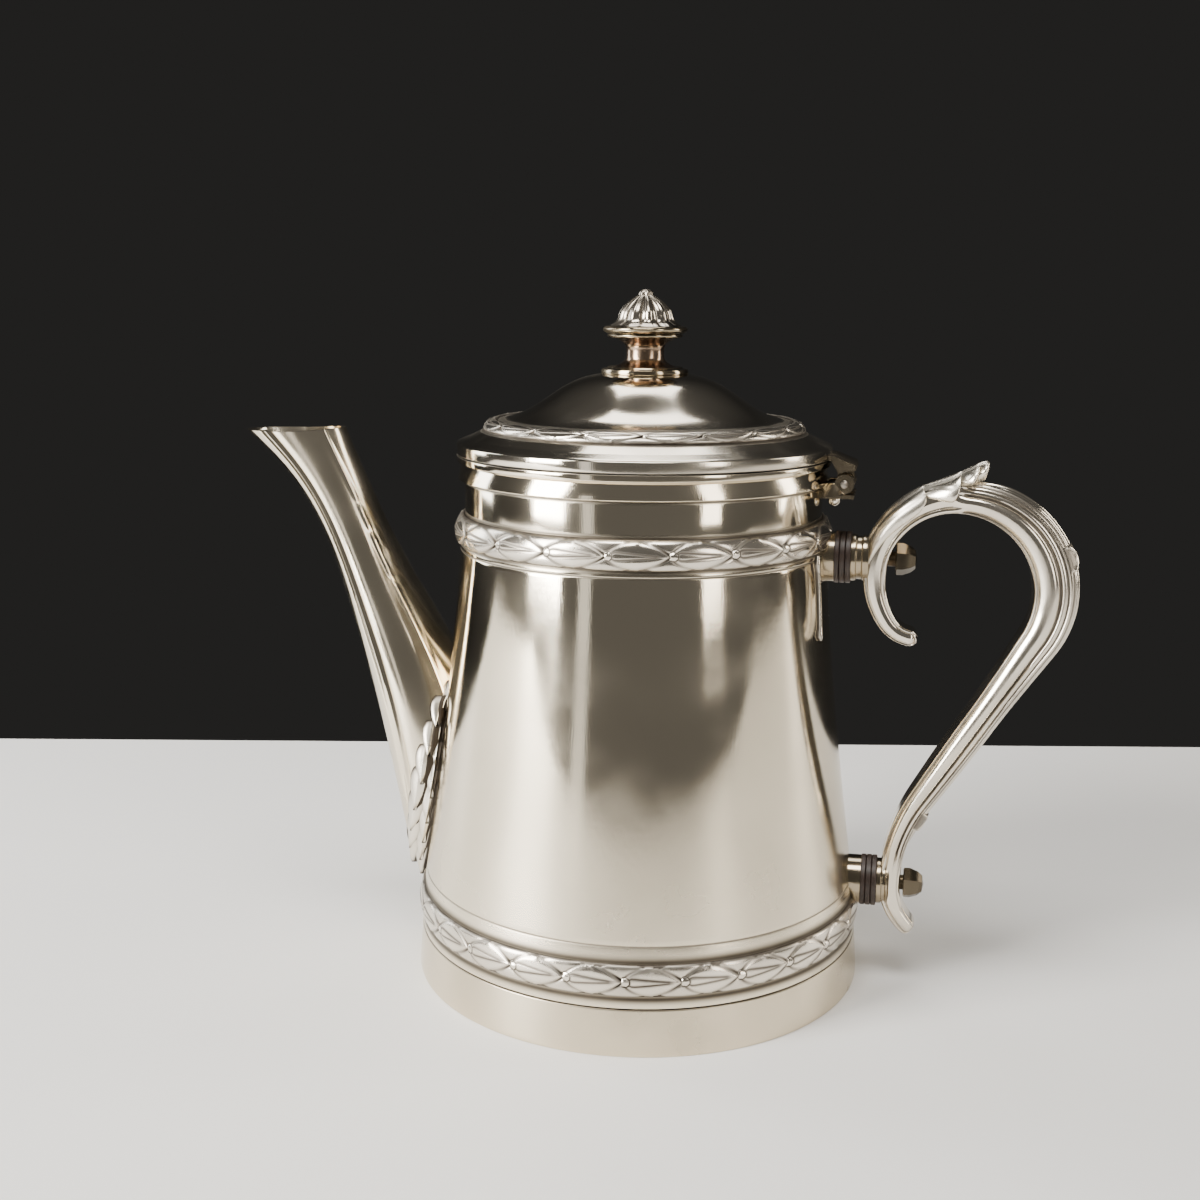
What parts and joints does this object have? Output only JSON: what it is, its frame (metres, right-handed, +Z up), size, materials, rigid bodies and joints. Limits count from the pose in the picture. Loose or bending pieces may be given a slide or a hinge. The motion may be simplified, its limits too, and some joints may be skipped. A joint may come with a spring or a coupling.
{
  "type": "coffee pot",
  "caption": "Tapered silver coffee pot with a hinged domed lid, tall spout, laurel bands and an insulated scroll handle.",
  "frame": {"origin": "centre of the round foot, on the table", "axes": "+Z up the pot's axis, +X towards the handle, -X towards the spout"},
  "size_m": [0.2294, 0.124, 0.1865],
  "materials": {
    "silver_plate": "polished silver plate with fine scratches",
    "lid_silver": "polished silver plate, dulled on the slope",
    "laurel_silver": "stamped silver plate with brown tarnish in the hollows",
    "cast_silver": "cast and chased silver plate",
    "worn_copper": "silver plate worn through to the copper",
    "insulator": "dark heat-stopping disc, satin",
    "brass": "dull brass",
    "steel_pin": "worn steel"
  },
  "bodies": {
    "pot": {"foot_ring": "silver_plate", "bottom_plate": "silver_plate", "body_shell": "silver_plate", "lower_laurel_band": "laurel_silver", "upper_laurel_band": "laurel_silver", "rim_moulding": "silver_plate", "spout": "silver_plate", "spout_leaf_collar": "laurel_silver", "upper_handle_socket": "silver_plate", "upper_handle_insulator": "insulator", "upper_handle_ferrule": "silver_plate", "upper_handle_stud": "brass", "upper_handle_nut": "silver_plate", "lower_handle_socket": "silver_plate", "lower_handle_insulator": "insulator", "lower_handle_ferrule": "silver_plate", "lower_handle_stud": "brass", "lower_handle_nut": "silver_plate", "handle": "cast_silver", "handle_reeds": "cast_silver", "handle_ties": "cast_silver", "thumb_leaf": "cast_silver", "ribbon_tails": "silver_plate", "hinge_bracket": "silver_plate", "hinge_pin": "steel_pin", "hinge_drop": "silver_plate"},
    "lid": {"lid_shell": "lid_silver", "lid_laurel_band": "laurel_silver", "lid_bezel": "silver_plate", "lid_hinge_leaf": "silver_plate", "finial_spool": "worn_copper", "finial_ring": "silver_plate", "finial_disc": "silver_plate", "finial_bud": "cast_silver", "finial_stud": "brass", "finial_washer": "brass", "finial_nut": "brass"}
  },
  "joints": [
    {"name": "lid_hinge", "type": "hinge", "parent": "pot", "child": "lid", "pos_m": [0.054, 0, 0.1376], "axis": [0, 1, 0], "range_deg": [0, 100]}
  ]
}
